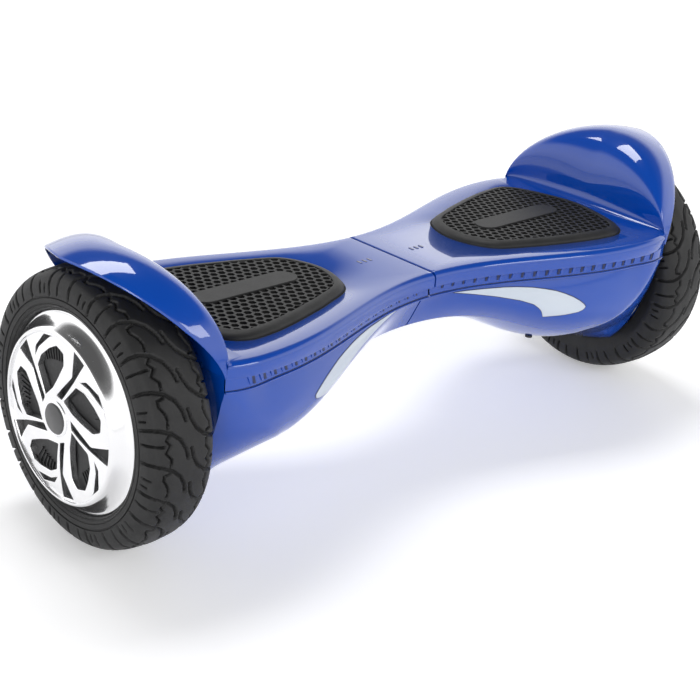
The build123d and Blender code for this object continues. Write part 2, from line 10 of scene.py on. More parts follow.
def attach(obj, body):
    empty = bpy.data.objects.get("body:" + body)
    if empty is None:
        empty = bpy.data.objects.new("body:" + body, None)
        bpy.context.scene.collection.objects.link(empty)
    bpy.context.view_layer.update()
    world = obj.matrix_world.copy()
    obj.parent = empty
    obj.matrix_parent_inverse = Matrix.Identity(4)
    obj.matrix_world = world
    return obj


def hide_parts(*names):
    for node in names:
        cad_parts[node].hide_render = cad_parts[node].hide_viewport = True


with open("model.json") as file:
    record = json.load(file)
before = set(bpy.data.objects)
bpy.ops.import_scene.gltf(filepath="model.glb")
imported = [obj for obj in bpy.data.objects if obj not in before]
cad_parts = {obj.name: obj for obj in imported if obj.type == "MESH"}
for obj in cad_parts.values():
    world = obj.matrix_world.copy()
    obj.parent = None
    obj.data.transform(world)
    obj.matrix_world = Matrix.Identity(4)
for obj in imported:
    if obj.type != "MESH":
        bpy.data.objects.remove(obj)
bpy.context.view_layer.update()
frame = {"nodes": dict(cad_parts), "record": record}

MM = 0.001               # lengths below are in millimetres, and meshes are made in metres

# ---- the board's driving dimensions, as in the CAD model ----
WHEEL_R = 101.6
TYRE_X = 277.3
TYRE_HALF = 27.0
LIP_R, LIP_X = 73.6, 299.6
FACE_R, FACE_X = 60.0, 313.7
CAP_R, CAP_X = 10.7, 315.7
DECK_Z, SKIRT_Z, BAND_Z = 158.4, 146.5, 137.0
WALL, SEAM, END_X = 3.0, 0.8, 242.0
WAIST_HALF, HIP_HALF, HIP_X, END_DROP = 50.5, 97.5, 212.0, 6.0
HEM_IN, HEM_WAIST_Z = 27.0, 105.0
KNEE_X, KNEE_DROP, TAIL_DROP = 175.0, 31.0, 27.0
BELLY_WAIST, BELLY_GROWTH = 5.0, 19.0
FENDER_X, FENDER_Z, FENDER_Y, FENDER_FOOT_X = 309.5, 218.2, 92.0, 241.0
VENT_COUNT, VENT_PITCH, VENT_X, VENT_INSET = 20, 10.8, 14.0, 8.0
PAD_TOP = DECK_Z + 4.5
PAD_CENTRE = 150.0
PAD_PLATE_X = 150.8


def ease(u):
    u = min(max(u, 0.0), 1.0)
    return (1 - cos(pi * u)) / 2


def half_width(x):
    if x < HIP_X:
        return WAIST_HALF + (HIP_HALF - WAIST_HALF) * ease(x / HIP_X)
    return HIP_HALF - END_DROP * ((x - HIP_X) / (END_X - HIP_X)) ** 2


def hem_z(x):
    return HEM_WAIST_Z - KNEE_DROP * ease(x / KNEE_X) ** 1.9 - TAIL_DROP * tail(x) ** 1.4


def tail(x):
    """0 at the knee of the lower edge, 1 at the end beside the wheel."""
    return max(0.0, (x - KNEE_X) / (END_X - KNEE_X))


def belly_depth(x):
    return (BELLY_WAIST + BELLY_GROWTH * ease(x / END_X)) * (1 - 0.5 * tail(x))


def panel_y(x, z):
    t = (BAND_Z - z) / (BAND_Z - hem_z(x))
    groove = VENT_INSET * (1 - ease((x - 200.0) / 42.0))
    bulge = 0.7 + 2.5 * ease(x / 150.0)
    return half_width(x) - groove * (1 - t) ** 2 - HEM_IN * max(t, 0.0) ** bulge


# ---- materials ----
def new_material(name):
    mat = bpy.data.materials.new(name)
    mat.use_nodes = True
    nodes = mat.node_tree.nodes
    shader = nodes["Principled BSDF"]
    return mat, nodes, mat.node_tree.links, shader


def noise(nodes, links, scale, detail=4.0):
    place = nodes.new("ShaderNodeTexCoord")
    tex = nodes.new("ShaderNodeTexNoise")
    tex.inputs["Scale"].default_value = scale
    tex.inputs["Detail"].default_value = detail
    links.new(place.outputs["Object"], tex.inputs["Vector"])
    return tex.outputs["Fac"]


def ramp(nodes, links, value, stops):
    node = nodes.new("ShaderNodeValToRGB")
    while len(node.color_ramp.elements) < len(stops):
        node.color_ramp.elements.new(0.5)
    for element, (place, colour) in zip(node.color_ramp.elements, stops):
        element.position = place
        element.color = (*colour, 1)
    links.new(value, node.inputs["Fac"])
    return node.outputs["Color"]


def bump(nodes, links, shader, value, strength, distance):
    node = nodes.new("ShaderNodeBump")
    node.inputs["Strength"].default_value = strength
    node.inputs["Distance"].default_value = distance
    links.new(value, node.inputs["Height"])
    links.new(node.outputs["Normal"], shader.inputs["Normal"])


def surface(name, dark, light, rough, grain=300.0, metallic=0.0, coat=0.0, relief=0.0, rough_spread=0.05,
            specular=0.5, coat_ior=1.5, brushed=None, glow=0.0):
    """Procedural material: colour and roughness drift with noise, and fine grain gives the relief."""
    mat, nodes, links, shader = new_material(name)
    drift = noise(nodes, links, grain * 0.12)
    links.new(ramp(nodes, links, drift, ((0.3, dark), (0.7, light))), shader.inputs["Base Color"])
    low, high = max(rough - rough_spread, 0.02), rough + rough_spread
    fine = noise(nodes, links, grain, 6.0)
    if brushed:
        place = nodes.new("ShaderNodeTexCoord")
        stretch = nodes.new("ShaderNodeMapping")
        stretch.inputs["Scale"].default_value = brushed
        links.new(place.outputs["Object"], stretch.inputs["Vector"])
        tex = nodes.new("ShaderNodeTexNoise")
        tex.inputs["Scale"].default_value = grain
        links.new(stretch.outputs["Vector"], tex.inputs["Vector"])
        fine = tex.outputs["Fac"]
    links.new(ramp(nodes, links, fine, ((0.3, (low,) * 3), (0.7, (high,) * 3))), shader.inputs["Roughness"])
    shader.inputs["Metallic"].default_value = metallic
    shader.inputs["Emission Strength"].default_value = glow
    shader.inputs["Emission Color"].default_value = (1, 1, 1, 1)
    shader.inputs["Coat Weight"].default_value = coat
    shader.inputs["Coat Roughness"].default_value = 0.03
    shader.inputs["Coat IOR"].default_value = coat_ior
    shader.inputs["Specular IOR Level"].default_value = specular
    if relief:
        bump(nodes, links, shader, fine, 0.5, relief * MM)
    return mat


BLUE = surface("blue_gloss", (0.0, 0.046, 0.33), (0.0, 0.058, 0.38), 0.25, 40, coat=1.0, rough_spread=0.02,
               specular=0.05, coat_ior=1.6)
# darker copy of the casing blue: painted shade for the vent slots, the crease above the vent band's bead and the gap
# round the front light
SHADE_BLUE = surface("painted_shade_blue", (0.0, 0.006, 0.05), (0.0, 0.010, 0.08), 0.35, 300)
RUBBER = surface("pad_rubber", (0.010, 0.010, 0.0105), (0.018, 0.018, 0.0185), 0.55, 900,
                 relief=0.10, specular=0.35)
# near-black copy of the pad rubber: painted shade for the pad's floor, the walls of the honeycomb cells and the gap
# round the pad
PAD_SHADE = surface("pad_painted_shade", (0.004, 0.004, 0.004), (0.008, 0.008, 0.008), 0.85, 600)
# near-black copy of the tyre rubber: painted shade at the bottom of the tread's grooves
TREAD_SHADE = surface("tread_painted_shade", (0.002, 0.002, 0.002), (0.005, 0.005, 0.005), 0.8, 700)
TYRE = surface("tyre_rubber", (0.009, 0.009, 0.0095), (0.016, 0.016, 0.0165), 0.55, 700,
               relief=0.12, specular=0.35)
POLISHED = surface("polished_metal", (0.82, 0.82, 0.83), (0.9, 0.9, 0.91), 0.13, 120, metallic=1.0,
                   rough_spread=0.03, brushed=(0.2, 6, 6))
SILVER = surface("silver_plate", (0.84, 0.84, 0.85), (0.92, 0.92, 0.93), 0.2, 160, metallic=1.0)
POCKET = surface("pocket_grey", (0.012, 0.012, 0.013), (0.022, 0.022, 0.023), 0.55, 500, relief=0.05)
CAP = surface("cap_grey", (0.055, 0.055, 0.057), (0.075, 0.075, 0.077), 0.35, 300)
LENS = surface("lens_white", (0.44, 0.50, 0.58), (0.56, 0.61, 0.67), 0.18, 60, coat=0.6)
WINDOW = surface("indicator_window", (0.0, 0.01, 0.08), (0.01, 0.02, 0.12), 0.2, 300, coat=0.5)
CAST = surface("cast_aluminium", (0.42, 0.42, 0.43), (0.52, 0.52, 0.53), 0.5, 500, metallic=1.0, relief=0.2)
COATED = surface("powder_coat", (0.03, 0.03, 0.032), (0.05, 0.05, 0.052), 0.5, 900, relief=0.15)
STEEL = surface("ground_steel", (0.5, 0.5, 0.52), (0.62, 0.62, 0.63), 0.28, 400, metallic=1.0)
OXIDE = surface("black_oxide", (0.02, 0.02, 0.022), (0.04, 0.04, 0.042), 0.4, 500, metallic=0.6)
COPPER = surface("motor_windings", (0.42, 0.17, 0.07), (0.6, 0.27, 0.12), 0.4, 900, metallic=1.0, relief=0.3)
BOARD = surface("circuit_board", (0.01, 0.09, 0.035), (0.02, 0.16, 0.06), 0.4, 400)
WRAP = surface("battery_wrap", (0.02, 0.10, 0.32), (0.03, 0.14, 0.4), 0.3, 200)
LOOM = surface("loom_sleeve", (0.012, 0.012, 0.012), (0.025, 0.025, 0.025), 0.6, 1200, relief=0.2)
PLASTIC = surface("black_plastic", (0.015, 0.015, 0.017), (0.028, 0.028, 0.03), 0.42, 700, relief=0.05)
NYLON = surface("nylon", (0.6, 0.57, 0.5), (0.7, 0.67, 0.6), 0.5, 500)
BUTTON = surface("button_silver", (0.5, 0.5, 0.52), (0.6, 0.6, 0.62), 0.3, 500, metallic=0.8)

SLOT_MATERIALS = {
    "blue_casing": BLUE, "black_trim": PLASTIC, "light_lens": LENS, "indicator_lens": WINDOW, "circuit_board": BOARD,
    "pad_rubber": RUBBER, "tyre_rubber": TYRE, "polished_rim": POLISHED, "silver_spokes": SILVER, "grey_cap": CAP,
    "frame_steel": COATED, "cast_aluminium": CAST, "bright_steel": STEEL, "dark_steel": OXIDE, "motor_steel": COPPER,
    "magnet_metal": STEEL, "nylon": NYLON, "battery_wrap": WRAP, "loom_rubber": LOOM, "button_plastic": BUTTON,
}
for part in frame["record"]["subparts"]:
    node = frame["nodes"][part["node"]]
    node.data.materials.clear()
    node.data.materials.append(SLOT_MATERIALS[part["material_slot"]])


# ---- mesh helpers ----
class Shape:
    """Vertices and faces gathered from grids, in millimetres; each face carries a material number."""

    def __init__(self):
        self.verts, self.faces, self.mats = [], [], []

    def face(self, ids, mat=0):
        self.faces.append(ids)
        self.mats.append(mat)

    def points(self, pts):
        start = len(self.verts)
        self.verts.extend(pts)
        return list(range(start, start + len(pts)))

    def grid(self, rows, mat=0, closed=False):
        """Quads between rows of points; closed joins each row's end to its start."""
        ids = [self.points(row) for row in rows]
        self.strips(ids, mat, closed)
        return ids

    def strips(self, ids, mat=0, closed=False):
        for a, b in zip(ids, ids[1:]):
            n = len(a)
            for i in range(n if closed else n - 1):
                j = (i + 1) % n
                self.face((a[i], a[j], b[j], b[i]), mat)

    def cap(self, ids, mat=0):
        self.face(tuple(ids), mat)


def make(name, shape, mats, body, sharp=32.0, mirror=1, replaces=()):
    """Turn a Shape into an object that rides on body; mirror is -1 for the left half."""
    mesh = bpy.data.meshes.new(name)
    mesh.from_pydata([(mirror * x * MM, y * MM, z * MM) for x, y, z in shape.verts], [], shape.faces)
    for mat in mats:
        mesh.materials.append(mat)
    mesh.polygons.foreach_set("material_index", shape.mats)
    bm = bmesh.new()
    bm.from_mesh(mesh)
    bmesh.ops.remove_doubles(bm, verts=bm.verts, dist=0.004 * MM)
    bmesh.ops.dissolve_degenerate(bm, edges=bm.edges, dist=0.002 * MM)
    bmesh.ops.recalc_face_normals(bm, faces=bm.faces)
    bm.to_mesh(mesh)
    bm.free()
    mesh.shade_smooth()
    mesh.set_sharp_from_angle(angle=radians(sharp))
    obj = bpy.data.objects.new(name, mesh)
    bpy.context.scene.collection.objects.link(obj)
    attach(obj, body)
    if replaces:
        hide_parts(*replaces)
    return obj


def both(name, shape, mats, body, replaced=None, sharp=32.0):
    """The piece on the right half and its mirror image on the left half."""
    for side, sign in (("right", 1), ("left", -1)):
        gone = (f"{side}_{replaced}",) if replaced else ()
        make(f"{side}_{name}", shape, mats, f"{side}_{body}", sharp=sharp, mirror=sign,
             replaces=gone)


# ---- foot pad outline ----
PAD_SIDE = [(x, half_width(x) - HEM_IN) for x in (112, 136, 160, 184)]


def pad_outline(grow, count=240):
    """Radius of the foot pad's outline about its centre, at count equal angles."""
    side = [(x, y + grow) for x, y in PAD_SIDE]
    inner = [(82 - grow * 0.8, 34.0 + grow * 0.6)]
    outer = [(206 + grow * 0.4, 67.5 + grow * 0.9), (222 + grow, 49.0 + grow * 0.6)]
    half = inner + side + outer
    loop = [(70.0 - grow, 0)] + [(x, -y) for x, y in half] + [(233.0 + grow, 0)] + half[::-1]
    pts = np.array(loop, float)
    fine = []
    n = len(pts)
    for i in range(n):
        a, b, c, d = (pts[(i + k - 1) % n] for k in range(4))
        for u in np.linspace(0, 1, 16, endpoint=False):
            fine.append(0.5 * (2 * b + (c - a) * u + (2 * a - 5 * b + 4 * c - d) * u * u
                               + (3 * b - a - 3 * c + d) * u ** 3))
    fine = np.array(fine) - (PAD_CENTRE, 0)
    angle = np.arctan2(fine[:, 1], fine[:, 0])
    order = np.argsort(angle)
    return np.interp(np.linspace(-pi, pi, count, endpoint=False), angle[order],
                     np.hypot(fine[:, 0], fine[:, 1])[order], period=2 * pi)


def pad_ring(grow, z, count=240):
    radii = pad_outline(grow, count)
    angles = np.linspace(-pi, pi, count, endpoint=False)
    return [(PAD_CENTRE + r * cos(a), r * sin(a), z) for r, a in zip(radii, angles)]


# ---- deck and fender ----
DECK_STEPS = 84
END_STEPS = 30
SEAM_STEPS = 14


def deck_loop(inset, z, seam_in=None):
    """Closed loop of the deck's outline drawn in by inset."""
    x0 = SEAM + (inset * 0.15 if seam_in is None else seam_in)
    x1 = END_X - 0.1 * inset
    xs = [x0 + (x1 - x0) * i / DECK_STEPS for i in range(DECK_STEPS + 1)]
    front = [(x, -(half_width(x) - inset), z) for x in xs]
    back = [(x, half_width(x) - inset, z) for x in reversed(xs)]
    y1, y0 = front[-1][1], front[0][1]
    end = [(x1, y1 - 2 * y1 * i / END_STEPS, z) for i in range(1, END_STEPS)]
    seam = [(x0, -y0 + 2 * y0 * i / SEAM_STEPS, z) for i in range(1, SEAM_STEPS)]
    return front + end + back + seam


def hole_loop(grow, z, outer):
    """Points of the pad's hole at the same directions from its centre as the points of outer."""
    radii = pad_outline(grow, 720)
    angles = np.linspace(-pi, pi, 720, endpoint=False)
    loop = []
    for x, y, _ in outer:
        a = atan2(y, x - PAD_CENTRE)
        r = np.interp(a, angles, radii, period=2 * pi)
        loop.append((PAD_CENTRE + r * cos(a), r * sin(a), z))
    return loop


def deck():
    shape = Shape()
    edge = 5.2
    rings = [deck_loop(VENT_INSET + WALL, SKIRT_Z + 3), deck_loop(VENT_INSET + WALL, SKIRT_Z), deck_loop(1.2, SKIRT_Z),
             deck_loop(0.35, SKIRT_Z + 0.35), deck_loop(0, SKIRT_Z + 1.2)]
    for i in range(9):
        a = radians(90 * i / 8)
        rings.append(deck_loop(edge * (1 - cos(a)), DECK_Z - edge + edge * sin(a)))
    outer = deck_loop(edge + 2.5, DECK_Z)
    rings.append(outer)
    rings += [hole_loop(1.6, DECK_Z, outer), hole_loop(0.8, DECK_Z - 0.5, outer), hole_loop(0.7, DECK_Z - 5, outer)]
    shape.grid(rings, closed=True)
    return shape


def fender_point(y, u, inward):
    t = min(abs(y) / FENDER_Y, 1.0)
    rise = (1 - t ** 2.04) ** 0.52
    reach = (1 - t ** 1.52) ** 0.69
    start = Vector((FENDER_FOOT_X, 0, DECK_Z))
    end = Vector((END_X + (FENDER_X - END_X) * reach, 0, SKIRT_Z + (FENDER_Z - SKIRT_Z) * rise))
    low = start + Vector((3.2, 0, 18.7)) * rise
    high = end + Vector((-74.8, 0, 19.7)) * rise
    p = start * (1 - u) ** 3 + low * 3 * u * (1 - u) ** 2 + high * 3 * u * u * (1 - u) + end * u ** 3
    slope = (low - start) * (1 - u) ** 2 + (high - low) * 2 * u * (1 - u) + (end - high) * u * u
    length = max(hypot(slope.x, slope.z), 1e-6)
    return (p.x + inward * slope.z / length, y, p.z - inward * slope.x / length)


FENDER_ROWS = 96
FENDER_STEPS = 30
FENDER_T = 2.6
FILLET_U = 0.16          # where along the section the fillet at the fender's foot ends


FOOT_REACH = 16.0        # how far the fillet runs in over the deck


def foot_fillet(y):
    """Points of the curve that leads from the deck up into the fender's wall."""
    top = Vector(fender_point(y, FILLET_U, 0))
    start = Vector((FENDER_FOOT_X - FOOT_REACH, y, DECK_Z + 0.05))
    corner = Vector((FENDER_FOOT_X + 0.6, y, DECK_Z + 0.05))
    side = half_width(start.x) - 2.0
    pts = []
    for k in range(9):
        u = k / 8
        p = start * (1 - u) ** 2 + corner * 2 * u * (1 - u) + top * u * u
        p.y = max(-side, min(side, p.y)) * (1 - u) + y * u
        drop = max(0.0, abs(y) - (FENDER_Y - 5.2))
        p.z -= (5.2 - sqrt(max(5.2 ** 2 - drop ** 2, 0.0))) * (1 - u)
        pts.append(tuple(p))
    return pts


def fender():
    """Wing over the wheel: an outer and an inner sheet joined by a rounded rolled edge."""
    shape = Shape()
    rows = []
    for i in range(FENDER_ROWS + 1):
        y = (FENDER_Y - 0.05) * sin(pi / 2 * (2 * i / FENDER_ROWS - 1))
        fade = min(1.0, (FENDER_Y - abs(y)) / 14.0)
        wall = FENDER_T * max(fade, 0.15)
        row = [(FENDER_FOOT_X - FOOT_REACH, y, SKIRT_Z + 2)] + foot_fillet(y)
        row += [fender_point(y, FILLET_U + (1 - FILLET_U) * u / FENDER_STEPS, 0) for u in range(1, FENDER_STEPS + 1)]
        tip_out = Vector(row[-1])
        tip_in = Vector(fender_point(y, 1, wall))
        lead = (tip_out - Vector(row[-2])).normalized() * wall * 0.35
        row += [tuple(tip_out * (1 - k) + tip_in * k + lead * sin(pi * k)) for k in (0.2, 0.5, 0.8)]
        row += [fender_point(y, u / FENDER_STEPS, wall) for u in range(FENDER_STEPS, -1, -1)]
        row.append((row[-1][0], y, SKIRT_Z + 2))
        rows.append(row)
    shape.grid(rows)
    return shape


# ---- bottom cover ----
PANEL_ROWS = 26
BELLY_ROWS = 20
CREASE_TOP = (240.5, 141.0)
CREASE_FOOT = (171.0, 73.0)
CREASE_ROUND = 1.0       # how softly the panel turns into the facet
CHEEK_SLOPE = 0.24


def cheek(x, z):
    """How far the facet beside the wheel is drawn in from the front panel."""
    run = (CREASE_TOP[0] - CREASE_FOOT[0]) / (CREASE_TOP[1] - CREASE_FOOT[1])
    line = CREASE_FOOT[0] + (z - CREASE_FOOT[1]) * run * (1.16 - 0.16 * (z - CREASE_FOOT[1]) / 68)
    past = CREASE_ROUND * np.log1p(np.exp(min((x - line) / CREASE_ROUND, 60)))
    return CHEEK_SLOPE * past * min(1.0, max(0.0, (CREASE_TOP[1] - z) / 12))


def section(x, inset=0.0):
    """Half of the bottom cover's section at x, from its top edge to the middle of the underside."""
    rows = []
    foot = hem_z(x)
    for i in range(PANEL_ROWS + 1):
        z = BAND_Z - (BAND_Z - foot) * (i / PANEL_ROWS) ** 0.9
        rows.append((max(panel_y(x, z) - cheek(x, z) - inset, 4.0), z))
    edge = rows[-1][0]
    for i in range(1, BELLY_ROWS + 1):
        y = edge * (1 - i / BELLY_ROWS)
        rows.append((y, foot + inset - belly_depth(x) * (1 - (y / edge) ** 2)))
    return rows


def whole_section(x, inset=0.0):
    half = section(x, inset)
    return [(x, -y, z) for y, z in half] + [(x, y, z) for y, z in half[-2::-1]]


COVER_WALL = 2.6
AXLE_HOLE_R = 12.0
RIM_STEPS = 16           # steps across the top of the end beside the wheel


def bottom_shell():
    """Bottom cover: outer and inner skins, and the end beside the wheel with the axle's hole."""
    shape = Shape()
    xs = [SEAM + (END_X - SEAM) * (i / 96) for i in range(97)]
    outer = [whole_section(x) for x in xs]
    inner = [whole_section(x, COVER_WALL) for x in xs]
    ids = shape.grid(outer)
    back = shape.grid(inner)
    shape.strips([ids[0], back[0]])
    for k in (0, -1):
        shape.strips([[row[k] for row in ids], [row[k] for row in back]])
    wall = outer[-1]
    closed_wall = wall + [(END_X, wall[-1][1] * (1 - 2 * i / RIM_STEPS), BAND_Z) for i in range(1, RIM_STEPS)]
    closed_hole = []
    for _, y, z in closed_wall:
        a = atan2(z - WHEEL_R, y)
        closed_hole.append((END_X, AXLE_HOLE_R * cos(a), WHEEL_R + AXLE_HOLE_R * sin(a)))
    shape.grid([closed_wall, closed_hole, [(END_X - 3, y, z) for _, y, z in closed_hole]], closed=True)
    edge = half_width(END_X) - 1.0
    shape.grid([[(END_X, -edge, BAND_Z), (END_X, edge, BAND_Z)], [(END_X, -edge, SKIRT_Z), (END_X, edge, SKIRT_Z)]])
    return shape


def vent_y(x, lift=0.0):
    """Half width of the vent band's face at x; near the wheel it comes out flush with the deck's edge."""
    return half_width(x) - (VENT_INSET - 1.6 - 1.8 * lift) * (1 - ease((x - 190.0) / 50.0)) - 0.6


def vent_band():
    """Blue band under the deck's lip, front and rear, with slanted gills and a bead along its lower edge; a thin dark
    line of painted shade lies in the crease above the bead.
    """
    shape = Shape()
    top, low = SKIRT_Z + 0.6, BAND_Z + 0.6
    for side in (-1, 1):
        xs = [SEAM + (END_X - SEAM - 0.4) * i / 120 for i in range(121)]
        shape.grid([[(x, side * (vent_y(x, k)), top + (low - top) * k) for x in xs] for k in (0, 0.35, 0.7, 1.0)])
        # the first bead is a thin dark line of painted shade in the crease above the second, blue bead
        for depth, height, mat in ((0.2, 0.8, 1), (-0.5, 1.4, 0)):
            bead = []
            for a in range(-30, 211, 40):
                r = height / 2
                bead.append([(x, side * (vent_y(x, 1) - depth + r * cos(radians(a - 90))),
                              low - 0.5 + 1.1 * mat + r * sin(radians(a - 90))) for x in xs])
            shape.grid(bead, mat)
        for i in range(VENT_COUNT):
            gill(shape, VENT_X + i * VENT_PITCH, side)
    return shape


def gill(shape, x, side):
    """Slanted slot drawn as a flat face of painted shade, with a raised blue blade beside it."""
    size = 0.72 + 0.28 * min(x / 120.0, 1.0)
    half, lean, foot = 1.7 * size, 2.2 * size, SKIRT_Z - 0.4 - 6.2 * size
    roof = SKIRT_Z + 0.2
    slot = [(x - half + lean, roof), (x + half + lean, roof), (x + half * 0.6, foot), (x - half * 0.6, foot)]
    # the slot's face takes the dark blue of painted shade
    face = shape.points([(px, side * (vent_y(px, (roof - z) / 10) + 0.45), z) for px, z in slot])
    shape.face(tuple(face), 1)
    blade = [(px + 3.0 * size, z) for px, z in slot]
    out = shape.points([(px, side * (vent_y(px, (roof - z) / 10) + (1.2 if z == roof else 0.5)), z)
                        for px, z in blade])
    root = shape.points([(px, side * (vent_y(px, (roof - z) / 10) - 0.3), z) for px, z in blade])
    shape.face(tuple(out), 0)
    shape.strips([out, root], 0, True)


# ---- foot pad ----
HEX = 7.4                # across flats, from cell to cell
RIB = 1.9
BORDER = 8.0


def in_pad(x, y, radii, margin):
    a = atan2(y, x - PAD_CENTRE)
    n = len(radii)
    r = np.interp(a, np.linspace(-pi, pi, n, endpoint=False), radii, period=2 * pi)
    return hypot(x - PAD_CENTRE, y) < r - margin


def in_plate(x, y, margin):
    over = max(abs(x - PAD_PLATE_X) - 37.0, 0.0)
    return hypot(over, y) < 11.0 + margin


def foot_pad():
    shape = Shape()
    rings = [pad_ring(4.0, DECK_Z - WALL - 3.4), pad_ring(4.0, DECK_Z - WALL - 0.4), pad_ring(0, DECK_Z - WALL - 0.4),
             pad_ring(0, DECK_Z + 0.6), pad_ring(-0.3, DECK_Z + 1.4), pad_ring(-1.6, DECK_Z + 2.7),
             pad_ring(-3.6, DECK_Z + 3.8), pad_ring(-6.2, PAD_TOP), pad_ring(-BORDER, PAD_TOP),
             pad_ring(-BORDER - 0.3, PAD_TOP - 0.3)]
    shape.grid(rings, closed=True)
    # the pad's floor under the honeycomb takes the near-black painted shade of the recess
    floor_rings = shape.grid([pad_ring(-BORDER - 0.3, PAD_TOP - 0.3), pad_ring(-BORDER - 0.4, PAD_TOP - 2.0)],
                             mat=1, closed=True)
    shape.cap(floor_rings[-1], 1)
    shape.cap(shape.points(pad_ring(4.0, DECK_Z - WALL - 3.4)[::-1]))
    radii = pad_outline(-BORDER, 720)
    side = HEX / sqrt(3)
    rows = int(80 / (1.5 * side))
    for row in range(-rows, rows + 1):
        for col in range(-14, 15):
            cx = PAD_CENTRE + HEX * (col + 0.5 * (row % 2))
            cy = 1.5 * side * row
            if not in_pad(cx, cy, radii, -HEX) or in_plate(cx, cy, -HEX * 0.8):
                continue
            add_cell(shape, cx, cy, radii)
    plate(shape)
    return shape


def add_cell(shape, cx, cy, radii):
    """One honeycomb cell: a hexagonal frame whose top is flush with the border."""
    ring_out, ring_in = [], []
    outer, inner = HEX / sqrt(3), (HEX - RIB) / sqrt(3)
    for k in range(6):
        a = radians(60 * k + 30)
        ring_out.append((cx + outer * cos(a), cy + outer * sin(a)))
        ring_in.append((cx + inner * cos(a), cy + inner * sin(a)))
    if not in_pad(cx, cy, radii, 0) and not all(in_pad(x, y, radii, -1.6) for x, y in ring_out):
        return
    top = PAD_TOP - 0.35
    a = shape.points([(x, y, top) for x, y in ring_out])
    b = shape.points([(x, y, top) for x, y in ring_in])
    c = shape.points([(x, y, PAD_TOP - 2.1) for x, y in ring_in])
    shape.strips([a, b], 0, True)
    # the cells' inner walls take the near-black painted shade
    shape.strips([b, c], 2, True)


def plate(shape):
    """Plain oblong plate in the middle of the pad."""
    rings = []
    for inset, z in ((0.0, PAD_TOP - 2.0), (0.0, PAD_TOP + 0.2), (0.5, PAD_TOP + 0.6)):
        ring = []
        for sign in (1, -1):
            for k in range(17):
                a = radians(-90 + 180 * k / 16)
                ring.append((PAD_PLATE_X + sign * (37.0 + (11.0 - inset) * cos(a)), sign * (11.0 - inset) * sin(a), z))
        rings.append(ring)
    ids = shape.grid(rings, closed=True)
    shape.cap(ids[-1])


# ---- tyre ----
TYRE_TURN = 960
TREAD_ROWS = 84
PERIODS = 24             # repeats of the tread's curved grooves round the tyre
TYRE_FLANK = ((-27, 84), (-26.2, 90.5), (-23.2, 96.3), (-18.5, 99.3), (-12.2, 100.7), (0, WHEEL_R))
GROOVE_DEPTH = 2.2
DRUM_X = TYRE_X - TYRE_HALF + 3.0
OUTER_SIDE = TYRE_X + TYRE_HALF
INNER_SIDE = ((DRUM_X, 71.0), (DRUM_X - 1.5, 73.5), (TYRE_X - TYRE_HALF + 1.6, 75.5),
              (TYRE_X - TYRE_HALF + 0.6, 79), (TYRE_X - TYRE_HALF + 0.1, 82))
SIDEWALL = ((OUTER_SIDE + 0.0, 83.0), (OUTER_SIDE - 0.9, 82.6), (OUTER_SIDE - 0.9, 82.0), (OUTER_SIDE - 0.1, 81.6),
            (OUTER_SIDE - 0.3, 78.4), (OUTER_SIDE - 0.9, 78.1), (OUTER_SIDE - 0.9, 77.6), (OUTER_SIDE - 0.5, 77.3),
            (OUTER_SIDE - 1.3, 75.8), (OUTER_SIDE - 1.9, 75.5), (OUTER_SIDE - 1.9, 75.0), (OUTER_SIDE - 1.7, 74.7),
            (OUTER_SIDE - 2.6, 74.0), (LIP_X - 0.2, LIP_R), (LIP_X - 3.6, LIP_R), (LIP_X - 3.6, 71.0))


def tyre_profile():
    """Evenly spaced points (x, radius) across the tyre's outer skin."""
    half = list(TYRE_FLANK)
    pts = np.array(half + [(-x, r) for x, r in reversed(half[:-1])], float)
    run = np.concatenate([[0], np.cumsum(np.hypot(*np.diff(pts, axis=0).T))])
    at = np.linspace(0, run[-1], TREAD_ROWS)
    xs, rs = np.interp(at, run, pts[:, 0]), np.interp(at, run, pts[:, 1])
    for _ in range(6):
        xs[1:-1] = (xs[:-2] + 2 * xs[1:-1] + xs[2:]) / 4
        rs[1:-1] = (rs[:-2] + 2 * rs[1:-1] + rs[2:]) / 4
    return TYRE_X + xs, rs


def dash(turn, across, start, end, width):
    """0..1 depth of a straight groove from start to end, in (mm round the tyre, mm across it)."""
    a, b = np.array(start, float), np.array(end, float)
    d = b - a
    k = np.clip(((turn - a[0]) * d[0] + (across - a[1]) * d[1]) / (d @ d), 0, 1)
    gap = np.hypot(turn - a[0] - k * d[0], across - a[1] - k * d[1])
    return np.clip((width / 2 + 0.45 - gap) / 0.9, 0, 1)


HOOK = (((0, 36), (0.5, 28), (-0.5, 21), (-4, 13), (-10, 6.5), (-17, 3), (-24, 1.5)), 2.1)
CURL = (((-6, 15), (-7, 19), (-11, 19), (-16, 16), (-21, 14.5), (-26, 15.5)), 1.3)
CHEVRON = (((-3, 13.5), (-8, 17.5), (-12, 14.5), (-17, 18), (-22, 14), (-27, 14.5)), 1.3)
SHORT_CUT = (((-13, 35), (-13, 28)), 1.3)
LONG_CUT = (((-11, 36), (-11.5, 27), (-12, 19)), 1.3)
LATE_CUT = (((-19.5, 35), (-20, 30)), 1.1)


def tread_depth(turn, across):
    """0..1 depth of the tread's grooves; turn is the distance round the tyre and repeats every two periods."""
    length = 2 * pi * WHEEL_R / PERIODS
    depth = np.zeros_like(turn)
    for period, cuts in ((0, (HOOK, CURL, SHORT_CUT, LATE_CUT)), (1, (HOOK, CHEVRON, LONG_CUT))):
        for path, width in cuts:
            for start, end in zip(path, path[1:]):
                for side in (1, -1):
                    for lap in (-1, 0, 1, 2):
                        offset = (period + 2 * lap + (0.45 if side < 0 else 0)) * length
                        a = (side * start[0] + offset, side * start[1])
                        b = (side * end[0] + offset, side * end[1])
                        depth = np.maximum(depth, dash(turn % (2 * length), across, a, b, width))
    return depth


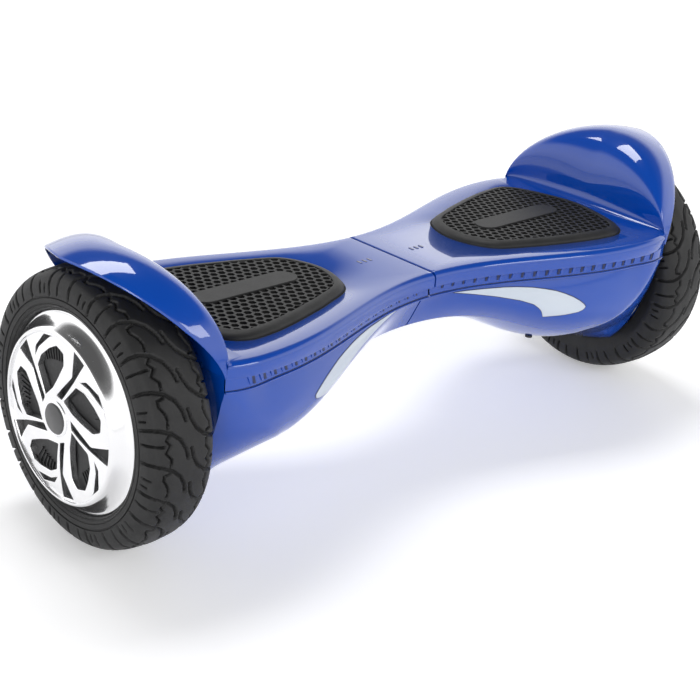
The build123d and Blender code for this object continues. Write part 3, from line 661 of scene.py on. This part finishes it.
def tyre():
    """Tyre with its grooves pressed into a fine grid; faces at the bottom of a groove are darker, as painted shade."""
    shape = Shape()
    xs, rs = tyre_profile()
    run = np.concatenate([[0], np.cumsum(np.hypot(np.diff(xs), np.diff(rs)))])
    run -= run[-1] / 2
    angles = np.linspace(0, 2 * pi, TYRE_TURN, endpoint=False)
    turn, across = np.meshgrid(angles * WHEEL_R, run)
    cut = tread_depth(turn, across)
    normal_x, normal_r = np.gradient(rs, run), np.gradient(xs, run)
    size = np.hypot(normal_x, normal_r)
    normal_x, normal_r = normal_x / size, normal_r / size

    def ring(x, r):
        return [(x, r * sin(a), WHEEL_R + r * cos(a)) for a in angles]

    rows = [ring(x, r) for x, r in INNER_SIDE]
    first = len(rows)
    for k in range(TREAD_ROWS):
        x = xs[k] + GROOVE_DEPTH * cut[k] * normal_x[k]
        r = rs[k] - GROOVE_DEPTH * cut[k] * normal_r[k]
        rows.append([(x[i], r[i] * sin(a), WHEEL_R + r[i] * cos(a)) for i, a in enumerate(angles)])
    rows += [ring(x, r) for x, r in SIDEWALL]
    ids = [shape.points(row) for row in rows]
    for j, (a, b) in enumerate(zip(ids, ids[1:])):
        k = j - first
        deep = np.minimum(cut[k], cut[k + 1]) if 0 <= k < TREAD_ROWS - 1 else np.zeros(TYRE_TURN)
        for i in range(TYRE_TURN):
            n = (i + 1) % TYRE_TURN
            # faces deep in a groove take the near-black painted shade
            shape.face((a[i], a[n], b[n], b[i]), int(deep[i] > 0.5))
    shape.strips([ids[-1], ids[0]], 0, True)
    return shape


# ---- wheel face ----
SPOKE_TURN = 42          # direction of the first spoke loop, in degrees about the axle
SPOKE_POCKET = ((18, 2), (28, 8.5), (39.2, 11), (45, 22), (49.8, 36), (53.6, 46), (51, 56), (43, 59.5), (31, 52.5), (22, 39))
SPOKE_SLOT = ((44.2, 10), (52, 16), (59.2, 30), (59.6, 49), (57.3, 38), (50, 21.5))
SPOKE_WEDGE = ((17.2, 46), (27.4, 64), (40.7, 73), (51, 68), (59.3, 65), (59.5, 79), (51.4, 79), (40, 79), (27.9, 77),
               (17.2, 71))


def polar(points, turn):
    return [(r * cos(radians(a + turn)), r * sin(radians(a + turn))) for r, a in points]


def rounded(points, reach=1.6, steps=5):
    """Closed outline with each corner replaced by a small arc that starts reach before it."""
    out = []
    for i, corner in enumerate(points):
        here = Vector(corner)
        ends = []
        for other in (points[i - 1], points[(i + 1) % len(points)]):
            way = Vector(other) - here
            ends.append(here + way.normalized() * min(reach, way.length * 0.45))
        for k in range(steps + 1):
            u = k / steps
            out.append(tuple(ends[0] * (1 - u) ** 2 + here * 2 * u * (1 - u) + ends[1] * u * u))
    return out


def plate_curve(name, outlines, x_back, x_front, bevel):
    """Flat plate with holes, as a filled 2-D curve turned to face along X and made into mesh data."""
    curve = bpy.data.curves.new(name, "CURVE")
    curve.dimensions = "2D"
    curve.fill_mode = "BOTH"
    curve.resolution_u = 10
    curve.extrude = (x_front - x_back) / 2 * MM - bevel * MM
    curve.bevel_depth = bevel * MM
    curve.bevel_resolution = 3
    for points, kind in outlines:
        spline = curve.splines.new("POLY")
        if kind == "smooth":
            points = rounded(points)
        spline.points.add(len(points) - 1)
        for p, (y, z) in zip(spline.points, points):
            p.co = (y * MM, z * MM, 0, 1)
        spline.use_cyclic_u = True
    obj = bpy.data.objects.new(name + "_curve", curve)
    mesh = bpy.data.meshes.new_from_object(obj)
    bpy.data.objects.remove(obj)
    middle = (x_front + x_back) / 2 * MM
    turn = Matrix(((0, 0, 1, middle), (1, 0, 0, 0), (0, 1, 0, WHEEL_R * MM), (0, 0, 0, 1)))
    mesh.transform(turn)
    return mesh


def circle(r, count=120):
    return [(r * cos(2 * pi * i / count), r * sin(2 * pi * i / count)) for i in range(count)]


def add_object(name, mesh, mats, body, gone=(), sharp=32.0):
    for mat in mats:
        mesh.materials.append(mat)
    mesh.shade_smooth()
    mesh.set_sharp_from_angle(angle=radians(sharp))
    obj = bpy.data.objects.new(name, mesh)
    bpy.context.scene.collection.objects.link(obj)
    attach(obj, body)
    if gone:
        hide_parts(*gone)
    return obj


def flipped(mesh):
    """Mirror image of a mesh in the plane between the halves."""
    copy = mesh.copy()
    copy.transform(Matrix.Scale(-1, 4, (1, 0, 0)))
    copy.flip_normals()
    return copy


def spoke_face():
    outlines = [(circle(FACE_R - 0.2), "line"), (circle(CAP_R + 0.6), "line")]
    for i in range(5):
        for outline in (SPOKE_POCKET, SPOKE_SLOT, SPOKE_WEDGE):
            outlines.append((polar(outline, SPOKE_TURN + 72 * i), "smooth"))
    mesh = plate_curve("spokes", outlines, FACE_X - 5.5, FACE_X - 0.2, 0.5)
    for vertex in mesh.vertices:
        r = hypot(vertex.co.y, vertex.co.z - WHEEL_R * MM) / MM
        vertex.co.x -= 2.2 * max(0.0, (r - 24) / 36) ** 2 * MM
    return mesh


def lathe(points, mat=0, count=160):
    shape = Shape()
    angles = np.linspace(0, 2 * pi, count, endpoint=False)
    rows = [[(x, r * sin(a), WHEEL_R + r * cos(a)) for a in angles] for x, r in points]
    shape.grid(rows, mat, closed=True)
    return shape


def rim_skin():
    return lathe(((250.5 + 3, 60), (250.5 + 3, 70.6), (LIP_X - 3.4, 70.9), (LIP_X - 3.4, 73.3), (LIP_X - 0.4, 73.4),
                  (LIP_X + 0.1, 73.0), (LIP_X + 0.6, 72.2), (LIP_X + 0.7, 71.2), (LIP_X + 0.9, 70.6),
                  (LIP_X + 2.6, 68.6), (LIP_X + 4.6, 66.9), (LIP_X + 6.6, 65.6), (LIP_X + 9.0, 64.5),
                  (LIP_X + 11.0, 63.7), (LIP_X + 12.4, 62.9), (FACE_X - 0.9, 61.9), (FACE_X - 0.7, 61.2),
                  (FACE_X - 0.9, 60.4), (FACE_X - 1.8, FACE_R), (304.6, FACE_R), (304.6, 17.5), (303.0, 17.5),
                  (301.0, 24.0), (300.0, 59.0), (253.5, 59.0), (253.5, 60)))


def pocket_floor():
    """Dark cover behind the spokes, with a raised rib ring and fine cooling ribs."""
    shape = lathe(((304.8, FACE_R - 0.3), (306.2, FACE_R - 0.3), (307.6, 54), (307.9, 46), (307.2, 30), (307.6, 20),
                   (308.2, 16), (304.8, 16), (304.8, FACE_R - 0.3)), count=120)
    for i in range(5):
        for k in range(7):
            a = radians(SPOKE_TURN + 22 + 72 * i + 4.2 * k)
            inner, outer = 40.5, 51.5
            width = 0.45
            across = (-sin(a) * width, cos(a) * width)
            corners = []
            for r, s in ((inner, 1), (outer, 1), (outer, -1), (inner, -1)):
                corners.append((r * cos(a) + s * across[0], r * sin(a) + s * across[1]))
            top = shape.points([(309.0, y, WHEEL_R + z) for y, z in corners])
            low = shape.points([(307.0, y, WHEEL_R + z) for y, z in corners])
            shape.face(tuple(top))
            shape.strips([top, low], 0, True)
    return shape


def centre_cap():
    shape = lathe(((306.0, 0.01), (306.0, CAP_R), (CAP_X - 0.9, CAP_R), (CAP_X - 0.3, CAP_R - 0.3),
                   (CAP_X, CAP_R - 0.9), (CAP_X, 0.01)), count=80)
    return shape


def cap_collar():
    return lathe(((308.0, CAP_R + 0.1), (FACE_X + 0.5, CAP_R + 0.1), (FACE_X + 0.9, CAP_R + 0.5),
                  (FACE_X + 0.9, CAP_R + 1.5), (FACE_X + 0.3, CAP_R + 2.3), (308.0, CAP_R + 2.3),
                  (308.0, CAP_R + 0.1)), count=80)


# ---- lights and small trim ----
LIGHT_TOP = ((31, 133.5), (45, 133.6), (62, 133.3), (76, 132.9), (88, 132.0), (101, 130.4), (112.6, 128.0),
             (122, 125.6), (130, 122.5), (138, 118.8), (145, 114.5), (150.2, 110.4), (151.6, 108.4))
LIGHT_LOW = ((31, 133.5), (50.2, 129.8), (70.9, 125.5), (91.3, 120.3), (103.7, 115.6), (110, 110.9), (113.2, 107.5),
             (117.5, 101.3), (134.6, 102.4), (146, 104.0), (150.6, 106.0), (151.6, 108.4))


def resample(points, count):
    pts = np.array(points, float)
    run = np.concatenate([[0], np.cumsum(np.hypot(*np.diff(pts, axis=0).T))])
    at = np.linspace(0, run[-1], count)
    return np.stack([np.interp(at, run, pts[:, 0]), np.interp(at, run, pts[:, 1])], 1)


def light():
    """Front light: a thin lens laid over the panel, with a dark line of painted shade round it, in the gap between
    lens and panel.
    """
    shape = Shape()
    top = resample(LIGHT_TOP, 70)
    low = resample(LIGHT_LOW, 70)
    # the first, slightly larger layer is the dark outline of painted shade; the second is the lens
    for grow, lift, mat in ((1.0, 0.12, 1), (0.0, 0.3, 0)):
        rows = []
        for k in np.linspace(0, 1, 22):
            row = []
            for (xa, za), (xb, zb) in zip(top, low):
                x = xa + (xb - xa) * k
                z = za + (zb - za) * k + grow * 0.6 * (1 - 2 * k)
                x += grow * 0.6 * ((xa - 95) / 60)
                row.append((x, -(panel_y(x, z) - cheek(x, z) + lift), z))
            rows.append(row)
        shape.grid(rows, mat)
    return shape


def ring_gap():
    """Dark ring of painted shade in the gap round the foot pad."""
    shape = Shape()
    shape.grid([pad_ring(1.3, DECK_Z - 0.2), pad_ring(0.1, DECK_Z - 0.25)], closed=True)
    return shape


def build_half():
    both("casing_top", deck(), [BLUE], "half", "top_cover", sharp=40)
    both("fender", fender(), [BLUE], "half", sharp=40)
    both("casing_bottom", bottom_shell(), [BLUE], "half", "bottom_cover", sharp=40)
    both("vent_strip", vent_band(), [BLUE, SHADE_BLUE], "half", "vent_bands")
    both("front_light", light(), [LENS, SHADE_BLUE], "half", "light_lens", sharp=60)
    both("pad_gap", ring_gap(), [PAD_SHADE], "half")
    both("ribbed_pad", foot_pad(), [RUBBER, PAD_SHADE, PAD_SHADE], "foot_pad", "foot_pad", sharp=28)
    both("tread_tyre", tyre(), [TYRE, TREAD_SHADE], "wheel", "tyre", sharp=50)
    both("polished_rim", rim_skin(), [POLISHED], "wheel", "rim", sharp=28)
    both("pocket_floor", pocket_floor(), [POCKET], "wheel")
    both("centre_cap", centre_cap(), [CAP], "wheel", "hub_cap", sharp=30)
    both("cap_collar", cap_collar(), [SILVER], "wheel", sharp=30)
    spokes = spoke_face()
    add_object("right_spoke_plate", spokes, [SILVER], "right_wheel", ("right_spoke_cover",), 28)
    add_object("left_spoke_plate", flipped(spokes), [], "left_wheel", ("left_spoke_cover",), 28)


build_half()


# ---- camera, floor and light ----
CAMERA_AT = (-0.85525, -0.81785, 0.5892)
AZIMUTH, ELEVATION, ROLL = radians(-45.02), radians(23.58), radians(4.57)


def add_camera():
    back = Vector((sin(AZIMUTH) * cos(ELEVATION), -cos(AZIMUTH) * cos(ELEVATION), sin(ELEVATION)))
    level = Vector((0, 0, 1)).cross(back).normalized()
    rise = back.cross(level)
    right = level * cos(ROLL) + rise * sin(ROLL)
    up = rise * cos(ROLL) - level * sin(ROLL)
    data = bpy.data.cameras.new("camera")
    data.sensor_width = 36
    data.lens = 81.42
    data.clip_end = 60
    cam = bpy.data.objects.new("camera", data)
    cam.matrix_world = Matrix((right, up, back)).transposed().to_4x4()
    cam.location = CAMERA_AT
    bpy.context.scene.collection.objects.link(cam)
    bpy.context.scene.camera = cam


def add_floor():
    shape = Shape()
    ids = shape.points([(-9000, -9000, 0), (9000, -9000, 0), (9000, 9000, 0), (-9000, 9000, 0)])
    shape.face(tuple(ids))
    mesh = bpy.data.meshes.new("floor")
    mesh.from_pydata([(x * MM, y * MM, z * MM) for x, y, z in shape.verts], [], shape.faces)
    mesh.materials.append(surface("floor_white", (0.90, 0.90, 0.91), (0.93, 0.93, 0.94), 0.6, 2, glow=0.26))
    floor = bpy.data.objects.new("floor", mesh)
    bpy.context.scene.collection.objects.link(floor)


def area_light(name, place, aim, size, power):
    data = bpy.data.lights.new(name, "AREA")
    data.shape = "RECTANGLE"
    data.size, data.size_y = size
    data.energy = power
    lamp = bpy.data.objects.new(name, data)
    lamp.location = place
    lamp.rotation_euler = (Vector(aim) - Vector(place)).to_track_quat("-Z", "Y").to_euler()
    bpy.context.scene.collection.objects.link(lamp)


def add_world():
    world = bpy.data.worlds.new("studio")
    world.use_nodes = True
    nodes, links = world.node_tree.nodes, world.node_tree.links
    place = nodes.new("ShaderNodeTexCoord")
    split = nodes.new("ShaderNodeSeparateXYZ")
    links.new(place.outputs["Generated"], split.inputs["Vector"])
    node = nodes.new("ShaderNodeValToRGB")
    stops = ((0.0, 0.75), (0.2, 0.95), (0.48, 0.85), (0.62, 0.12), (0.85, 0.06), (1.0, 0.06))
    while len(node.color_ramp.elements) < len(stops):
        node.color_ramp.elements.new(0.5)
    for element, (at, level) in zip(node.color_ramp.elements, stops):
        element.position = at
        element.color = (level, level, level, 1)
    links.new(split.outputs["Z"], node.inputs["Fac"])
    links.new(node.outputs["Color"], nodes["Background"].inputs["Color"])
    nodes["Background"].inputs["Strength"].default_value = 1.7
    bpy.context.scene.world = world


add_camera()
add_floor()
add_world()
area_light("overhead", (0.4, 1.1, 2.9), (0, 0, 0.1), (1.6, 0.9), 40)
area_light("left", (-2.9, -1.4, 0.9), (0, 0, 0.12), (0.6, 1.4), 12)
area_light("front", (0.6, -2.4, 1.6), (0, 0, 0.1), (1.2, 0.6), 12)

bpy.context.scene.view_settings.view_transform = "Standard"
